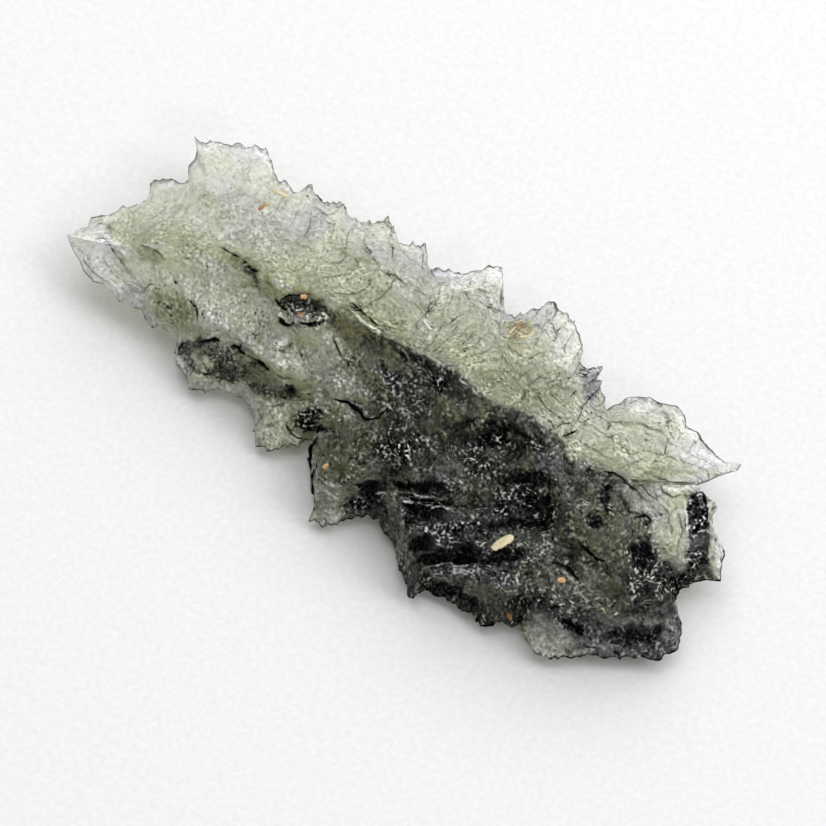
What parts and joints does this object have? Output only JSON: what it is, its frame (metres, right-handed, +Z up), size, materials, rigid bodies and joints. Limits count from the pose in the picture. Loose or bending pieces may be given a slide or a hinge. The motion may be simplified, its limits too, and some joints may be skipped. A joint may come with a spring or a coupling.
{
  "type": "moldavite",
  "caption": "Natural piece of etched green impact glass, a leaf-shaped stone with a sharp crest, a thick pitted side and a thin lobed wing.",
  "frame": {"origin": "centre of the bounding box in plan, on the surface that the stone rests on", "axes": "+X along the stone's long way towards its blunt end, +Z up, the short way"},
  "size_m": [0.0264, 0.0124, 0.0049],
  "materials": {
    "moldavite": "satin"
  },
  "bodies": {
    "root": {"moldavite": "moldavite"}
  },
  "joints": []
}
